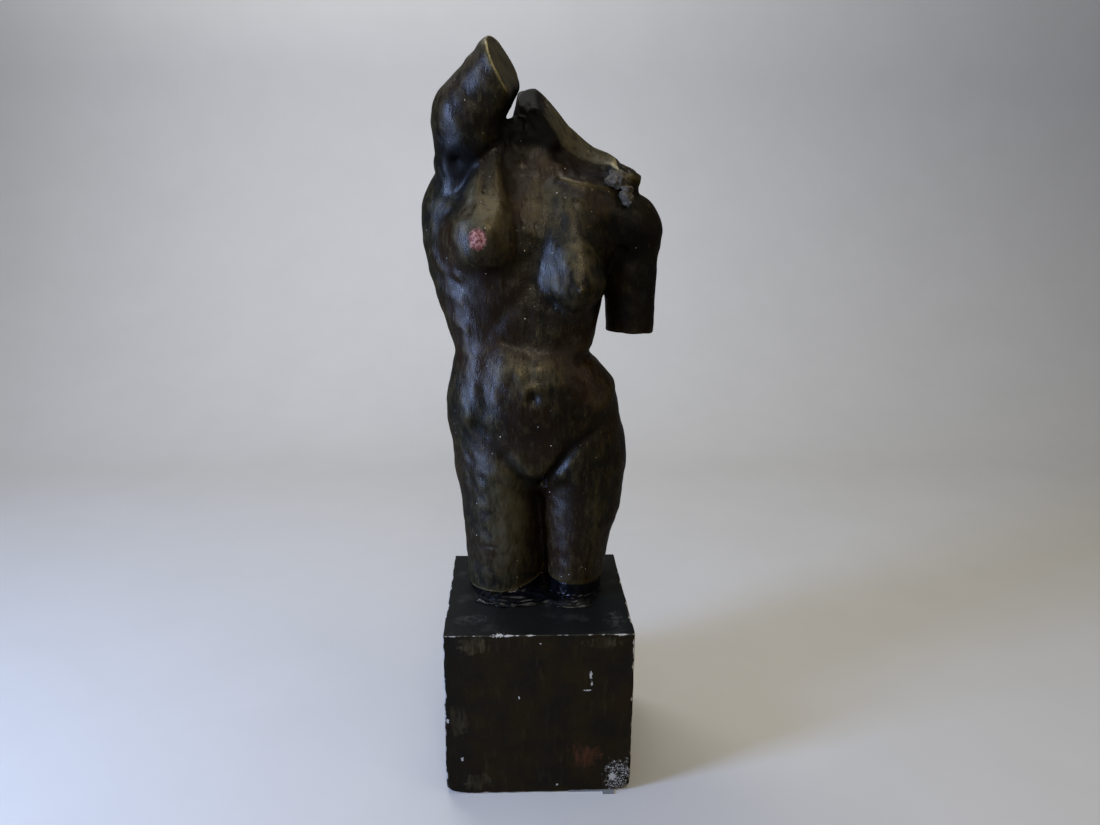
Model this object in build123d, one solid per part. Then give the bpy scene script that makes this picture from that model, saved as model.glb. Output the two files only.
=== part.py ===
"""A plaster torso on a square plinth, as a studio cast: a hollow figure shell bedded on a hollow
plinth, held by two threaded rods that are set in plaster plugs poured inside the thighs.

Millimetres, +Z up. The origin is the centre of the plinth's underside. The figure faces -Y, and its
own left side is on +X. Nothing on it moves."""

import os
from math import cos, pi, sin

from build123d import *

# Plinth: a five-sided plaster casting, open underneath.
plinth_width = 180.0
plinth_depth = 180.0
plinth_height = 172.0
plinth_wall = 18.0
plinth_top = 24.0
plinth_edge_radius = 2.0

# Figure: the outline tables below are drawn at the pattern sizes, and are scaled to these.
figure_height = 527.0
figure_width = 232.0
figure_depth = 140.0
pattern_height = 527.0
pattern_width = 232.0
pattern_depth = 140.0
shell_wall = 12.0
raised_arm_radius = 31.0
section_power = 2.3
section_points = 16

# Bedding: the layer of plaster that the cut thighs stand in. It runs out furthest in front.
bedding_thickness = 3.0
bedding_spread = 7.0
bedding_lip = 22.0
bedding_shoulder = 2.0
bedding_recess = 2.0

# The thigh cuts: the right one climbs towards the inside, and the left one is level and higher.
right_cut_rise = 12.0
right_cut_run = 42.0
left_cut_lift = 14.0

# Thigh rods, the plugs that hold them, and their nuts and washers under the plinth's top.
rod_diameter = 10.0
rod_clearance = 0.15
rod_tail = 16.0
rod_end_cover = 15.0
plug_height = 105.0
plug_clearance = 0.3
nut_across_flats = 17.0
nut_height = 8.4
washer_diameter = 30.0
washer_thickness = 2.5

# Repair putty on the left shoulder, in a socket that follows it.
putty_radius = 14.0
putty_clearance = 0.3

# A strip of clear sheet packed under the front right corner, in a relief of its own thickness.
shim_length = 44.0
shim_width = 14.0
shim_thickness = 1.6
shim_tab = 11.0
shim_proud = 4.0
shim_corner = 16.0
shim_clearance = 0.3

figure_base = plinth_height + bedding_thickness
slab_underside = plinth_height - plinth_top
bore_diameter = rod_diameter + 2 * rod_clearance
kx = figure_width / pattern_width
ky = figure_depth / pattern_depth
kz = figure_height / pattern_height

# Level sections of the pattern figure: height above the thigh cuts, left, right, front and back.
TRUNK = [
    (72, -50, 50, 2, 62),
    (100, -76, 86, -14, 84),
    (130, -84, 91, -26, 92),
    (160, -88, 89, -31, 93),
    (188, -90, 83, -36, 83),
    (214, -86, 74, -38, 72),
    (238, -81, 60, -35, 65),
    (254, -81, 53, -31, 64),
    (278, -88, 58, -27, 68),
    (310, -99, 63, -23, 77),
    (342, -108, 70, -20, 85),
    (372, -112, 80, -16, 89),
    (400, -104, 88, -4, 85),
    (428, -78, 70, 14, 76),
]
RIGHT_THIGH = [
    (0, -69, 4, -10, 60),
    (28, -72, 5, -13, 64),
    (60, -74, 4, -17, 68),
    (95, -78, 3, -18, 74),
    (130, -81, -2, -18, 76),
    (165, -70, -14, 0, 60),
]
LEFT_THIGH = [
    (0, 9, 69, -20, 58),
    (28, 8, 71, -21, 62),
    (60, 8, 78, -22, 68),
    (95, 6, 87, -20, 76),
    (130, 6, 89, -18, 78),
    (165, 16, 74, 0, 60),
]
NECK = [
    (405, -56, 86, 8, 78),
    (425, -48, 85, 12, 76),
    (441, -40, 57, 16, 74),
    (456, -32, 37, 20, 72),
    (475, -25, 16, 24, 67),
    (486, -16, -2, 32, 58),
]
LEFT_ARM = [
    (265, 65, 111, 8, 52),
    (300, 64, 112, 7, 56),
    (330, 62, 116, 4, 64),
    (358, 56, 121, 2, 72),
    (382, 48, 113, 4, 74),
    (400, 40, 98, 14, 66),
]


def place(x, y, height):
    """A point of the pattern figure, in the part's frame."""
    return (x * kx, y * ky, figure_base + height * kz)


def section(row, grow=0.0, lip=0.0, lower=0.0):
    """A level section as a face: a rounded square, grown all round and by a lip in front."""
    height, left, right, front, back = row
    x, y, z = place((left + right) / 2, (front + back) / 2, height)
    a = (right - left) / 2 * kx + grow
    b = (back - front) / 2 * ky + grow + lip / 2
    points = []
    for i in range(section_points):
        turn = 2 * pi * (i + 0.5) / section_points
        c, s = cos(turn), sin(turn)
        points.append((x + a * abs(c) ** (2 / section_power) * (1 if c > 0 else -1),
                       y - lip / 2 + b * abs(s) ** (2 / section_power) * (1 if s > 0 else -1),
                       z - lower))
    return make_face(Spline(*points, periodic=True))


def column(rows, grow=0.0):
    """A smooth solid through level sections."""
    return loft([section(row, grow) for row in rows])


def ball(x, y, height, rx, ry, rz, tilt=0.0):
    """An ellipsoid of the figure, tilted about Y."""
    body = scale(Sphere(1.0), by=(rx * kx, ry * ky, rz * kz))
    return Pos(*place(x, y, height)) * Rot(0, tilt, 0) * body


def rod_centres():
    """The middle of each thigh cut: right, then left."""
    return [place((left + right) / 2, (front + back) / 2, 0)[:2]
            for _, left, right, front, back in (RIGHT_THIGH[0], LEFT_THIGH[0])]


def upright(x, y, low, high, diameter):
    """A vertical cylinder between two heights."""
    return Pos(x, y, (low + high) / 2) * Cylinder(diameter / 2, high - low)


def rod_bores(low, high):
    """The two bores that the rods pass through, as solids to cut away."""
    return [upright(x, y, low, high, bore_diameter) for x, y in rod_centres()]


def raised_arm():
    """The stump of the raised right arm: round, short, and cut flat towards the missing head."""
    low = Vector(*place(-67, 13, 465))
    high = Vector(*place(-38, -4, 498))
    radius = raised_arm_radius * kx
    along = Plane(origin=low, z_dir=high - low)
    length = (high - low).length
    stump = Pos(low) * Sphere(radius) + Pos(high) * Sphere(radius)
    stump += along * Pos(0, 0, length / 2) * Cylinder(radius, length)
    face = Plane(origin=place(-32, -6, 502), z_dir=(0.82, -0.33, 0.46))
    return split(stump, bisect_by=face, keep=Keep.BOTTOM)


def shoulder_putty(clearance=0.0):
    """The lump of putty where the left shoulder meets the neck."""
    x, y, z = place(76, 12, 400)
    return Pos(x, y, z) * Sphere(putty_radius + clearance)


def under_right_cut():
    """All that lies under the right thigh's cut, which climbs towards the middle."""
    middle = thigh_parting()
    outline = Polyline(
        (-figure_width, 0), (middle, 0), (middle, figure_base + right_cut_rise),
        (middle - right_cut_run, figure_base), (-figure_width, figure_base), close=True)
    return extrude(Plane.XZ * make_face(outline), figure_width, both=True)


def under_left_cut():
    """All that lies under the left thigh's level cut."""
    middle = thigh_parting()
    outline = Polyline(
        (middle, 0), (figure_width, 0), (figure_width, figure_base + left_cut_lift),
        (middle, figure_base + left_cut_lift), close=True)
    return extrude(Plane.XZ * make_face(outline), figure_width, both=True)


def thigh_parting():
    """The X of the plane that parts the two thighs at the cuts."""
    return (RIGHT_THIGH[0][2] + LEFT_THIGH[0][1]) / 2 * kx


def torso_shell():
    """The hollow plaster figure, open at both thigh cuts."""
    outer = column(TRUNK)
    for mass in (
        column(RIGHT_THIGH), column(LEFT_THIGH), column(NECK), column(LEFT_ARM), raised_arm(),
        ball(-42, 62, 118, 42, 38, 44), ball(48, 62, 122, 44, 40, 46),
        ball(-66, 38, 410, 38, 36, 46, tilt=15),
        ball(-52, -18, 355, 27, 26, 34), ball(34, -16, 338, 26, 24, 31),
    ):
        outer += mass
    hollow = column(TRUNK[1:-2], -shell_wall)
    for rows in (RIGHT_THIGH, LEFT_THIGH):
        hollow += column(rows, -shell_wall)
    return outer - hollow - shoulder_putty(putty_clearance) - under_right_cut() - under_left_cut()


def thigh_plug(rows, under_cut, x, y):
    """Plaster poured into a thigh round its rod, up to the plug height."""
    core = column(rows, -shell_wall - plug_clearance)
    core = split(core, bisect_by=Plane.XY.offset(figure_base + plug_height), keep=Keep.BOTTOM)
    return core - under_cut - upright(x, y, figure_base - 1, rod_top + rod_clearance, bore_diameter)


def thigh_rod(x, y):
    """A steel rod from under the nut up into the plug, chamfered at its lower end."""
    rod = upright(x, y, rod_bottom, rod_top, rod_diameter)
    return chamfer(rod.edges().sort_by(Axis.Z)[0], rod_diameter / 10)


def washer(x, y):
    """A flat washer against the underside of the plinth's top."""
    disc = upright(x, y, slab_underside - washer_thickness, slab_underside, washer_diameter)
    return disc - upright(x, y, 0, plinth_height, bore_diameter)


def nut(x, y):
    """A hexagon nut under the washer."""
    top = slab_underside - washer_thickness
    outline = RegularPolygon(nut_across_flats / 2, 6, major_radius=False)
    blank = Pos(x, y, top - nut_height) * extrude(outline, nut_height)
    return blank - upright(x, y, 0, plinth_height, bore_diameter)


def thigh_bedding():
    """The plaster under both thighs: a sloping skirt on the plinth, and a boss up to each cut."""
    bed = None
    for rows, under_cut in ((RIGHT_THIGH, under_right_cut()), (LEFT_THIGH, under_left_cut())):
        foot = section(rows[0], bedding_spread, bedding_lip, bedding_thickness)
        head = section(rows[0], bedding_shoulder, bedding_lip / 2)
        pad = loft([foot, head], ruled=True) + (column(rows, -bedding_recess) & under_cut)
        bed = pad if bed is None else bed + pad
    for bore in rod_bores(plinth_height - 1, rod_top):
        bed -= bore
    return bed


def shim_strip(clearance=0.0):
    """The strip of sheet under the front right corner, with a tab that shows in front."""
    front = -plinth_depth / 2
    right = plinth_width / 2 - shim_corner
    strip = Pos(right - shim_length / 2, front + shim_width / 2, shim_thickness / 2) * Box(
        shim_length + 2 * clearance, shim_width + 2 * clearance, shim_thickness + 2 * clearance)
    tab = Pos(right - shim_tab / 2, front, shim_thickness / 2) * Box(
        shim_tab + 2 * clearance, 2 * (shim_proud + clearance), shim_thickness + 2 * clearance)
    return strip + tab


def plinth_shell():
    """The hollow plaster block, with rod bores in its top and a relief for the shim."""
    block = Pos(0, 0, plinth_height / 2) * Box(plinth_width, plinth_depth, plinth_height)
    rounded = block.edges().filter_by(Axis.Z) + block.faces().sort_by(Axis.Z)[-1].edges()
    block = fillet(rounded, plinth_edge_radius)
    block -= Pos(0, 0, slab_underside / 2) * Box(
        plinth_width - 2 * plinth_wall, plinth_depth - 2 * plinth_wall, slab_underside)
    for bore in rod_bores(slab_underside - 1, plinth_height + 1):
        block -= bore
    return block - shim_strip(shim_clearance)


right_rod, left_rod = rod_centres()
rod_top = figure_base + plug_height - rod_end_cover
rod_bottom = slab_underside - washer_thickness - nut_height - rod_tail

nodes = {
    "plinth_shell": plinth_shell(),
    "thigh_bedding": thigh_bedding(),
    "torso_shell": torso_shell(),
    "right_thigh_plug": thigh_plug(RIGHT_THIGH, under_right_cut(), *right_rod),
    "left_thigh_plug": thigh_plug(LEFT_THIGH, under_left_cut(), *left_rod),
    "right_thigh_rod": thigh_rod(*right_rod),
    "left_thigh_rod": thigh_rod(*left_rod),
    "rod_washers": Compound([washer(*right_rod), washer(*left_rod)]),
    "rod_nuts": Compound([nut(*right_rod), nut(*left_rod)]),
    "shoulder_putty": shoulder_putty(),
    "corner_shim": shim_strip(),
}

os.makedirs("parts", exist_ok=True)
for name, shape in nodes.items():
    export_step(shape, f"parts/{name}.step")
    print(name, round(shape.volume / 1000, 1), "cm3")
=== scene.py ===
# %% Start: load the fixed frame
from math import cos, pi, radians, sin

import bpy
import numpy as np
from mathutils import Matrix, Vector


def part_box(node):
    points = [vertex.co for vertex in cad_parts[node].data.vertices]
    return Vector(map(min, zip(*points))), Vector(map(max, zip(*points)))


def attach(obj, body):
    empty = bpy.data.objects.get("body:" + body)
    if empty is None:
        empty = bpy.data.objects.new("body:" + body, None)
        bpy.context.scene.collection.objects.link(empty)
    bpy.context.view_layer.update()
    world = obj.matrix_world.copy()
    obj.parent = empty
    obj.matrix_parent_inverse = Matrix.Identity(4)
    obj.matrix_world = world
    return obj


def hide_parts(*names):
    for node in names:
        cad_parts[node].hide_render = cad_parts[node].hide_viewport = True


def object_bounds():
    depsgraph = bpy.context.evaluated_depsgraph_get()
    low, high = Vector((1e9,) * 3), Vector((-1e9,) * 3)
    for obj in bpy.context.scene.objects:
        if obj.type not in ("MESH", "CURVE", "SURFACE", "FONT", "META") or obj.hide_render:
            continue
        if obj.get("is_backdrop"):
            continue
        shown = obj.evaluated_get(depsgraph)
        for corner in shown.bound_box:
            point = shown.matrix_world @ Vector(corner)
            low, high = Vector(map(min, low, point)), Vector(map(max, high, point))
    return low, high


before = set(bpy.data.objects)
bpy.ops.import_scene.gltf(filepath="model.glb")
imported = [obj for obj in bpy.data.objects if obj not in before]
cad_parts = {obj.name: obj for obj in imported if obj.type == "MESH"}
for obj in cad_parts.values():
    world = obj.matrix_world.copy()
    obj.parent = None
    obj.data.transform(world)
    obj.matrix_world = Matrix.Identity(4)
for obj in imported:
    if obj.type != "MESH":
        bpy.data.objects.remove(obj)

cad_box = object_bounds()

# %% [markdown]
# The object is a studio cast: a plaster figure painted to look like bronze, standing on a hollow
# plaster block. Nothing moves, so every piece made here rides on the one body, "root".
#
# The CAD model fixes where each piece is and how large it is. We read those boxes first and work
# everything else out from them. A sculptor thinks in millimetres above the plinth, so we do too, and
# change to metres only when a mesh is made.

# %% Places and sizes, read from the frame
MM = 0.001
plinth_low, plinth_high = (np.array(corner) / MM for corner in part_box("plinth_shell"))
figure_low, figure_high = (np.array(corner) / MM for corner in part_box("torso_shell"))
plinth_top = plinth_high[2]
figure_height = figure_high[2] - plinth_top
print("plinth", (plinth_high - plinth_low).round(1), "figure", (figure_high - figure_low).round(1))


# %% [markdown]
# ## Camera, room and light
# The camera stands close to the cast, a little above its waist, and looks slightly down and to the
# right. The room is a pale floor that curves up into a backdrop. A dark glossy surface shows mostly
# what it reflects, so the lamps are large and soft: a tall cool one on the left, like a window,
# draws the long streaks down the body, and a broad one on the right fills the shaded side.

# %% Camera
EYE = Vector((-0.0225, -0.7945, 0.5711))
LOOK_RIGHT = radians(2.48)
LOOK_DOWN = radians(14.69)
ROLL = radians(0.5)
FOCAL_LENGTH = 27.53

forward = Vector((sin(LOOK_RIGHT) * cos(LOOK_DOWN), cos(LOOK_RIGHT) * cos(LOOK_DOWN), -sin(LOOK_DOWN)))
level_right = Vector((cos(LOOK_RIGHT), -sin(LOOK_RIGHT), 0))
level_up = level_right.cross(forward)
right = level_right * cos(ROLL) + level_up * sin(ROLL)
up = level_up * cos(ROLL) - level_right * sin(ROLL)
camera_data = bpy.data.cameras.new("camera")
camera_data.sensor_width = 36
camera_data.lens = FOCAL_LENGTH
camera = bpy.data.objects.new("camera", camera_data)
bpy.context.collection.objects.link(camera)
camera.matrix_world = Matrix.Translation(EYE) @ Matrix((right, up, -forward)).transposed().to_4x4()
bpy.context.scene.camera = camera
bpy.context.scene.view_settings.view_transform = "Standard"


# %% [markdown]
# ## Helpers for meshes and materials
# One function makes an object from numpy points and faces, in millimetres. One turns a hex colour
# into the linear numbers that Blender shades with. One adds a node with its settings and its links.

# %% Mesh helper
def make_piece(name, points, faces):
    """Make an object from points in millimetres and faces, and let it ride on the root body."""
    mesh = bpy.data.meshes.new(name)
    mesh.from_pydata((np.asarray(points) * MM).tolist(), [], np.asarray(faces).tolist())
    mesh.validate()
    mesh.shade_smooth()
    piece = bpy.data.objects.new(name, mesh)
    bpy.context.collection.objects.link(piece)
    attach(piece, "root")
    print(name, len(mesh.vertices), "points", len(mesh.polygons), "faces")
    return piece


# %% Colour and node helpers
def linear(hex_colour):
    """Turn an sRGB hex colour into linear red, green, blue and alpha."""
    parts = [int(hex_colour[i:i + 2], 16) / 255 for i in (1, 3, 5)]
    return [c / 12.92 if c <= 0.04045 else ((c + 0.055) / 1.055) ** 2.4 for c in parts] + [1.0]


def new_material(name):
    """Make a material with an empty node tree."""
    material = bpy.data.materials.new(name)
    material.use_nodes = True
    material.node_tree.nodes.clear()
    return material


def add(material, kind, *values, out=None, **more):
    """Add a node and return its first output, or the output that is named.

    Plain values and outputs go to the node's inputs in order. After them, a name that starts with a
    capital is an input and any other name is a setting. A colour may be given as hex.
    """
    node = material.node_tree.nodes.new("ShaderNode" + kind)
    for name in [name for name in more if name[0].islower()]:
        setattr(node, name, more.pop(name))
    wires = list(zip([socket for socket in node.inputs if socket.enabled], values))
    wires += [(node.inputs[name.replace("_", " ")], value) for name, value in more.items()]
    for socket, value in wires:
        if isinstance(value, bpy.types.NodeSocket):
            material.node_tree.links.new(value, socket)
        elif value is not None:
            socket.default_value = linear(value) if isinstance(value, str) else value
    outputs = [socket for socket in node.outputs if socket.enabled]
    return node.outputs[out] if out else (outputs or [None])[0]


# %% Colours, as sRGB hex
# BRONZE_DEEP is the patina in the hollows, and also the painted shade
BRONZE_DEEP, BRONZE_DARK, BRONZE_OLIVE = "#070605", "#11100c", "#231f11"
BRONZE_BROWN, BRONZE_GOLD, BRONZE_GOLD_WARM = "#2a1b0b", "#6a5c36", "#84652f"
BRONZE_CUT, BRONZE_CUT_LIGHT, BRONZE_EDGE = "#3d3a2f", "#6a6347", "#b5a878"
# pale olive, the colour of painted highlights where the powder is also rubbed
BRONZE_SHEEN_AND_RUB = "#6a644e"
CHIP_WHITE, CHIP_PINK, CHIP_PALE_PINK = "#d8d2c4", "#74352e", "#b98577"
PLINTH_TOP, PLINTH_SMUDGE, PLINTH_BROWN, PLINTH_DARK = "#151715", "#4c4f4a", "#281e0a", "#15120b"
PLINTH_SCUFF, PLINTH_WORN, PLINTH_RED = "#3d3321", "#6b6246", "#7a4632"
GLOSS_BLACK, GLOSS_BLUE, GLOSS_GREY = "#08080a", "#0d0f16", "#302f2a"
PUTTY_DARK, PUTTY_GREY = "#332d22", "#6b6250"
PLASTER_LIGHT, PLASTER_GREY = "#d9d4c8", "#b3ada0"
ZINC_LIGHT, ZINC_DARK = "#c3c6c9", "#8f9396"
SHEET_CLEAR, SHEET_CLOUDY = "#dfe3e2", "#c2c6c3"
FLOOR_PALE, FLOOR_SHADE, FLOOR_DIM = "#e6e4de", "#dedcd5", "#5e5b55"


# %% [markdown]
# ## Modelling in clay: distance fields
# The figure is one smooth plaster surface, with no edges to build polygons from. A sculptor builds
# it from masses pressed together and then works the surface. We do the same with numbers: each mass
# is a function that gives every point in space its distance to the mass, below zero inside. Two
# masses are pressed together with a soft minimum, and a saw cut is a maximum.

# %% Masses
def vec(*numbers):
    """Three numbers as a numpy vector."""
    return np.array(numbers, dtype=np.float32)


def join(a, b, softness):
    """Press two masses together, rounding the seam over about the softness in millimetres."""
    overlap = np.maximum(softness - np.abs(a - b), 0) / softness
    return np.minimum(a, b) - overlap ** 2 * softness / 4


def cut(a, b, softness):
    """Keep what is inside both, with a slightly rounded edge."""
    return -join(-a, -b, softness)


def turned(tilt, turn=0.0):
    """A rotation: a tilt about Y, then a turn about Z, in degrees."""
    matrix = Matrix.Rotation(radians(turn), 3, "Z") @ Matrix.Rotation(radians(tilt), 3, "Y")
    return np.array(matrix, dtype=np.float32)


def egg(p, centre, radii, axes=None):
    """Distance to an ellipsoid, which may be turned."""
    q = p - vec(*centre)
    q = q @ axes if axes is not None else q
    radii = vec(*radii)
    near = np.linalg.norm(q / radii, axis=1)
    return near * (near - 1) / np.maximum(np.linalg.norm(q / radii ** 2, axis=1), 1e-5)


def limb(p, start, end, start_radius, end_radius):
    """Distance to a rounded, tapering limb between two points."""
    start, along = vec(*start), vec(*end) - vec(*start)
    share = np.clip((p - start) @ along / (along @ along), 0, 1)
    gap = np.linalg.norm(p - start - share[:, None] * along, axis=1)
    return gap - start_radius - (end_radius - start_radius) * share


def beyond(p, point, outward):
    """Distance to a flat cut: above zero on the outward side."""
    outward = vec(*outward)
    return (p - vec(*point)) @ (outward / np.linalg.norm(outward))


def smooth_rows(heights, rows):
    """Read a table of rows at any height, with a smooth curve that never overshoots."""
    x, y = np.array([row[0] for row in rows], float), np.array([row[1:] for row in rows], float)
    slope = np.diff(y, axis=0) / np.diff(x)[:, None]
    tangent = np.zeros_like(y)
    same_way = slope[1:] * slope[:-1] > 0
    mean = 2 * slope[1:] * slope[:-1] / np.where(same_way, slope[1:] + slope[:-1], 1)
    tangent[1:-1] = np.where(same_way, mean, 0)
    tangent[0], tangent[-1] = slope[0], slope[-1]
    h = np.clip(heights, x[0], x[-1])
    i = np.clip(np.searchsorted(x, h) - 1, 0, len(x) - 2)
    width = (x[i + 1] - x[i])[:, None]
    t = (h - x[i])[:, None] / width
    return ((2 * t ** 3 - 3 * t ** 2 + 1) * y[i] + (t ** 3 - 2 * t ** 2 + t) * width * tangent[i]
            + (3 * t ** 2 - 2 * t ** 3) * y[i + 1] + (t ** 3 - t ** 2) * width * tangent[i + 1])


def column(p, rows, squareness):
    """Distance to a body whose level sections are rounded squares, read from a table."""
    left, right, front, back = smooth_rows(p[:, 2], rows).astype(np.float32).T
    a, b = (right - left) / 2, (back - front) / 2
    x, y = np.abs(p[:, 0] - (left + right) / 2), np.abs(p[:, 1] - (front + back) / 2)
    k = squareness
    reach = ((x / a) ** k + (y / b) ** k) ** (1 / k) + 1e-6
    slope = np.hypot(x ** (k - 1) / a ** k, y ** (k - 1) / b ** k) * reach ** (1 - k)
    side = (reach - 1) / np.maximum(slope, 1 / 200)
    ends = np.maximum(rows[0][0] - p[:, 2], p[:, 2] - rows[-1][0])
    return np.maximum(side, ends)


# %% [markdown]
# Two more tools work the surface itself. A dab raises or sinks a soft round patch, like a pellet of
# clay or a thumb. A stroke does the same along a line, like a loop tool. Both fade away smoothly, so
# any number of them can overlap.

# %% Surface tools
FADE = 3.0


def dab(p, d, centre, radii, height):
    """Raise the surface by a height around a point, or sink it with a height below zero."""
    near = np.flatnonzero((np.abs(p - vec(*centre)) < FADE * max(radii)).all(axis=1))
    d[near] -= height * np.exp(-(((p[near] - vec(*centre)) / vec(*radii)) ** 2).sum(axis=1))


def stroke(p, d, points, width, height):
    """Raise the surface along a line of points, or sink it with a height below zero."""
    points = np.array(points, dtype=np.float32)
    low, high = points.min(axis=0) - FADE * width, points.max(axis=0) + FADE * width
    near = np.flatnonzero(((p > low) & (p < high)).all(axis=1))
    q, gap = p[near], np.full(len(near), 1e3, dtype=np.float32)
    for start, end in zip(points, points[1:]):
        along = end - start
        share = np.clip((q - start) @ along / (along @ along), 0, 1)
        gap = np.minimum(gap, np.linalg.norm(q - start - share[:, None] * along, axis=1))
    d[near] -= height * np.exp(-(gap / width) ** 2)


# %% [markdown]
# ## The figure's masses
# Heights are millimetres above the plinth's top, X is to the figure's left and -Y is the front. The
# trunk leans over the left leg: the left hip is pushed out, the ribs bend back over it, and the
# raised arm pulls the whole right side long. Each row is a height and the left, right, front and
# back of the body there.

# %% Tables of the trunk and thighs
TRUNK = [
    (80, -45, 45, 18, 62), (98, -66, 76, 8, 78), (116, -78, 87, -10, 89),
    (138, -83, 89, -28, 94), (163, -87, 88, -32, 94), (188, -90, 82, -36, 86),
    (209, -89, 77, -38, 76), (228, -84, 69, -37, 68), (239, -82, 60, -36, 66),
    (250, -80, 53, -33, 65), (268, -85, 56, -29, 67), (298, -95, 62, -26, 74),
    (328, -104, 67, -24, 82), (358, -110, 74, -22, 88), (383, -111, 82, -16, 90),
    (408, -102, 84, -4, 86), (428, -84, 76, 10, 78), (446, -50, 55, 24, 68),
]
RIGHT_THIGH = [
    (-8, -68, 5, -8, 60), (4, -70, 6, -10, 62), (28, -72, 7, -13, 65), (58, -74, 5, -17, 69),
    (93, -77, 2, -20, 74), (128, -81, -1, -22, 82), (160, -78, -8, -16, 82), (196, -62, -26, 4, 60),
]
LEFT_THIGH = [
    (-8, 12, 67, -19, 60), (4, 11, 68, -21, 62), (28, 9, 71, -22, 66), (58, 6, 76, -24, 72),
    (93, 2, 86, -25, 80), (128, 0, 89, -26, 88), (160, 4, 84, -20, 88), (196, 24, 66, 4, 64),
]


# %% Limbs and large masses
def both_thighs(p):
    """The thighs, pressed together behind the groove that parts them."""
    pair = join(column(p, RIGHT_THIGH, 2.15), column(p, LEFT_THIGH, 2.15), 3)
    return join(pair, limb(p, (9, 30, -10), (3, 34, 120), 16, 30), 5)


def unbroken(p):
    """Everything but the raised arm, before the neck is broken off."""
    d = join(column(p, TRUNK, 2.35), both_thighs(p), 10)
    d = join(d, egg(p, (-42, 60, 124), (41, 42, 46)), 14)
    d = join(d, egg(p, (46, 60, 128), (41, 44, 48)), 14)
    d = join(d, left_shoulder(p), 16)
    d = join(d, breasts(p), 16)
    d = join(d, left_arm(p), 5)
    return join(d, whole_neck(p), 7)


def big_masses(p):
    """The whole figure: the body cut away at the neck's hollow break, and the raised arm."""
    return join(cut(unbroken(p), above_break(p), 1.2), raised_arm(p), 4)


def breasts(p):
    """Two low, firm masses; the right one is drawn up towards the raised arm."""
    right_one = join(egg(p, (-50, -14, 356), (32, 27, 33), turned(8)),
                     limb(p, (-52, -13, 364), (-43, 13, 442), 26, 14), 10)
    left_one = join(egg(p, (34, -14, 318), (28, 26, 31), turned(-10)),
                    limb(p, (32, -8, 345), (30, 12, 392), 18, 16), 20)
    return join(right_one, left_one, 6)


def left_shoulder(p):
    """The round of the hanging arm's shoulder, tied into the chest and the collar bone."""
    ball = egg(p, (86, 38, 363), (35, 35, 36))
    chest = limb(p, (40, 10, 384), (80, 24, 374), 22, 24)
    return join(ball, chest, 14)


def left_arm(p):
    """The hanging arm, sawn off square above the elbow."""
    arm = limb(p, (90, 36, 350), (92, 31, 250), 27.5, 22.5)
    return cut(arm, beyond(p, (88, 30, 266), (-0.06, -0.05, -1)), 2)


def whole_stump(p):
    """The raised arm's stump, before its end is cut off."""
    stump = limb(p, (-64, 13, 464), (-31, -2, 504), 33, 30)
    return join(stump, limb(p, (-81, 20, 426), (-64, 8, 462), 14, 30), 12)


def above_arm_cut(p):
    """Distance beyond the cut that faces the lost head."""
    return beyond(p, (-31, -6, 503), (0.84, -0.30, 0.42))


def raised_arm(p):
    """The raised arm: a thick stump in front of its shoulder."""
    stump = cut(whole_stump(p), above_arm_cut(p), 2)
    stump = cut(stump, beyond(p, (-24, -4, 476), (0.86, -0.1, -0.5)), 8)
    shoulder = limb(p, (-66, 40, 405), (-66, 38, 434), 31, 28)
    underside = limb(p, (-74, 18, 398), (-62, 8, 452), 17, 27)
    return join(join(shoulder, underside, 14), stump, 12)


def whole_neck(p):
    """The neck and the slope of the shoulder, before the break."""
    mass = limb(p, (8, 44, 400), (8, 42, 500), 43, 25)
    mass = join(mass, egg(p, (-9, 26, 456), (15, 20, 34), turned(12)), 10)
    mass = join(mass, egg(p, (-20, 18, 453), (12, 14, 15)), 8)
    mass = join(mass, limb(p, (-30, 16, 430), (-32, 12, 448), 18, 10), 14)
    mass = join(mass, limb(p, (16, 50, 430), (70, 42, 402), 32, 24), 10)
    return join(mass, egg(p, (82, 22, 412), (14, 15, 16)), 8)


def above_break(p):
    """Distance above the neck's broken face."""
    return (p[:, 2] - break_height(p[:, 0], p[:, 1])) * 0.75


BREAK = [(-30, 482), (-14, 490), (-4, 492), (5, 486), (17, 474), (33, 456), (45, 446), (56, 439),
         (76, 432), (95, 423)]


def break_height(x, y):
    """The height of the neck's broken face, which rises from its front edge to its back one."""
    line = smooth_rows(x, BREAK)[:, 0].astype(np.float32)
    slope = np.interp(x, [0, 8, 22, 38, 56, 72], [0.5, 0.6, 0.95, 0.95, 0.6, 0.4])
    return line + np.clip(y - 44, -40, 0) * slope + np.clip(y - 44, 0, 40) * 0.15




# %% [markdown]
# ## The figure's surface
# With the masses pressed together, the anatomy is worked in. Each line below is one touch of a tool:
# its place, its size and how far it raises the plaster, or sinks it with a number below zero. A
# touch with one point is a dab, and a touch along several points is a stroke. One short function
# makes all the touches of a list.

# %% Touches
def work(p, d, touches):
    """Make every dab and stroke of a list."""
    for place, size, height in touches:
        tool = dab if isinstance(size, tuple) else stroke
        tool(p, d, place, size, height)


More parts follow.
